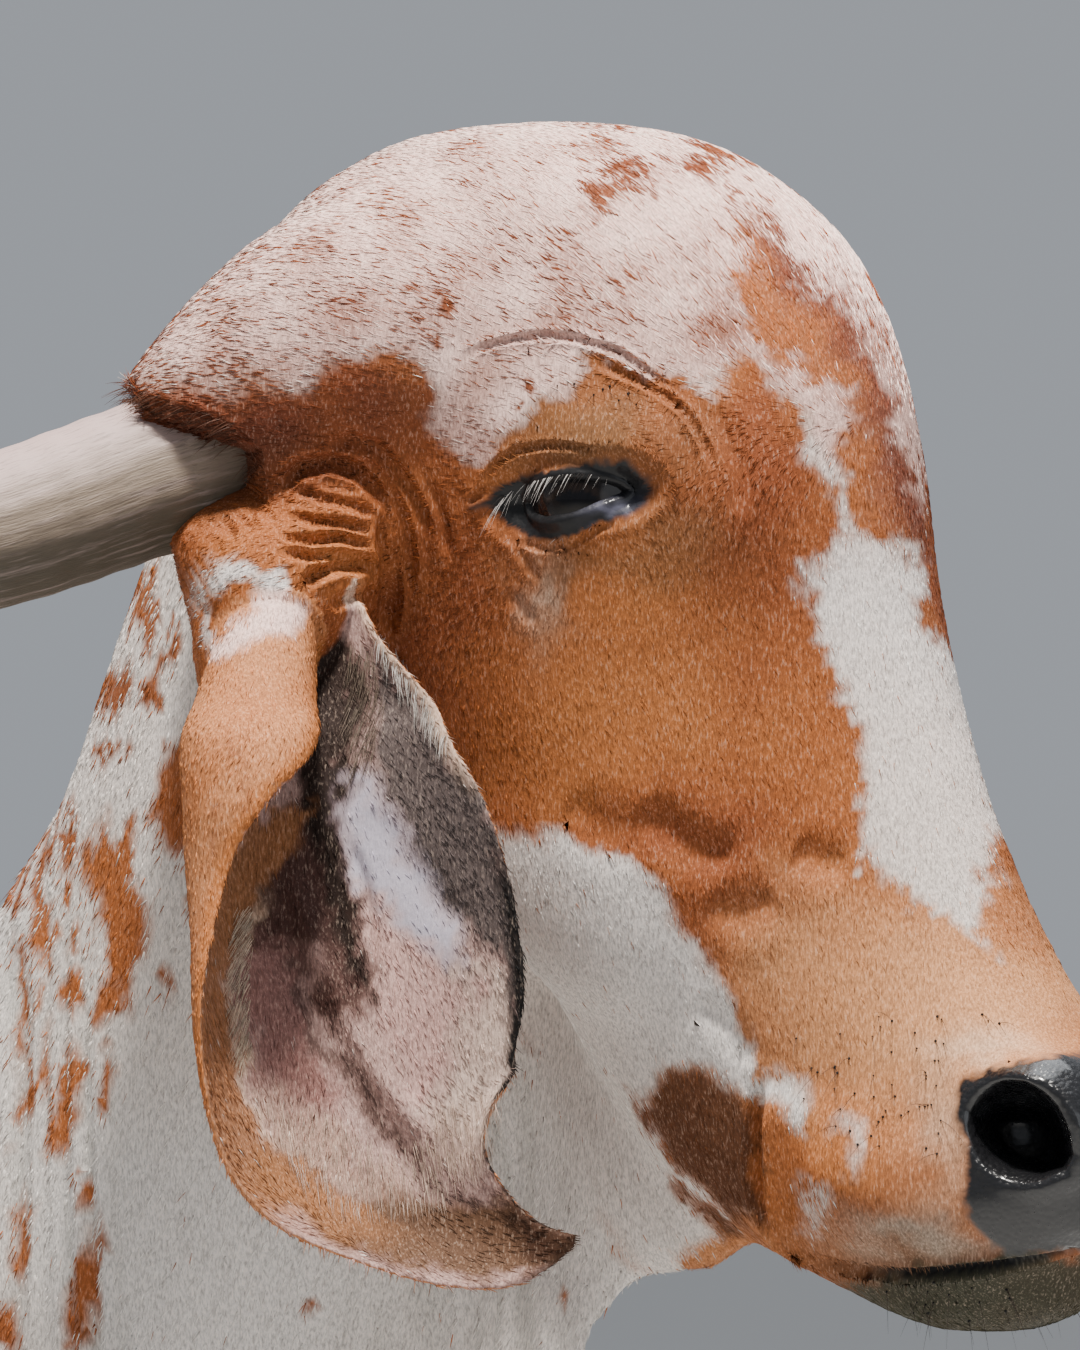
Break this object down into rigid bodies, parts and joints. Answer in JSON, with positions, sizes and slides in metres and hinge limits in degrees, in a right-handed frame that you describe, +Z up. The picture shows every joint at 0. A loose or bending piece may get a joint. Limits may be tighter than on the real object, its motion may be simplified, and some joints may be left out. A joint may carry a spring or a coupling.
{
  "type": "gyr cow",
  "caption": "Standing Gyr zebu cow with a domed forehead, long folded leaf ears, curved horns, small hump, loose dewlap and cloven hooves, head raised and turned to her left.",
  "frame": {"origin": "centre of the bounding box's footprint, on the ground under the hooves", "axes": "+X the way the body faces, +Y her left side, +Z up"},
  "size_m": [2.1376, 0.7138, 1.7021],
  "materials": {
    "head_hide": "short glossy coat",
    "neck_hide": "short coat over creased skin",
    "body_hide": "short coat",
    "dewlap_hide": "short coat over loose skin",
    "foreleg_hide": "short coat",
    "hindleg_hide": "short coat",
    "hoof_horn": "dark horn, satin",
    "udder_skin": "bare soft skin",
    "ear_hide": "short coat",
    "horn_sheath": "fibrous grey horn, satin",
    "eye_wet": "wet and glossy",
    "tail_hide": "short coat",
    "switch_hair": "long coarse hair"
  },
  "bodies": {
    "root": {"head": "head_hide", "neck": "neck_hide", "torso": "body_hide", "dewlap": "dewlap_hide", "foreleg_upper_right": "foreleg_hide", "foreleg_lower_right": "foreleg_hide", "foreleg_upper_left": "foreleg_hide", "foreleg_lower_left": "foreleg_hide", "hindleg_upper_right": "hindleg_hide", "hindleg_lower_right": "hindleg_hide", "hindleg_upper_left": "hindleg_hide", "hindleg_lower_left": "hindleg_hide", "hoof_fore_right_inner": "hoof_horn", "hoof_fore_right_outer": "hoof_horn", "hoof_fore_left_inner": "hoof_horn", "hoof_fore_left_outer": "hoof_horn", "hoof_hind_right_inner": "hoof_horn", "hoof_hind_right_outer": "hoof_horn", "hoof_hind_left_inner": "hoof_horn", "hoof_hind_left_outer": "hoof_horn", "udder": "udder_skin", "ear_right": "ear_hide", "ear_left": "ear_hide", "horn_right": "horn_sheath", "horn_left": "horn_sheath", "eye_right": "eye_wet", "eye_left": "eye_wet", "tail": "tail_hide", "tail_switch": "switch_hair"}
  },
  "joints": []
}
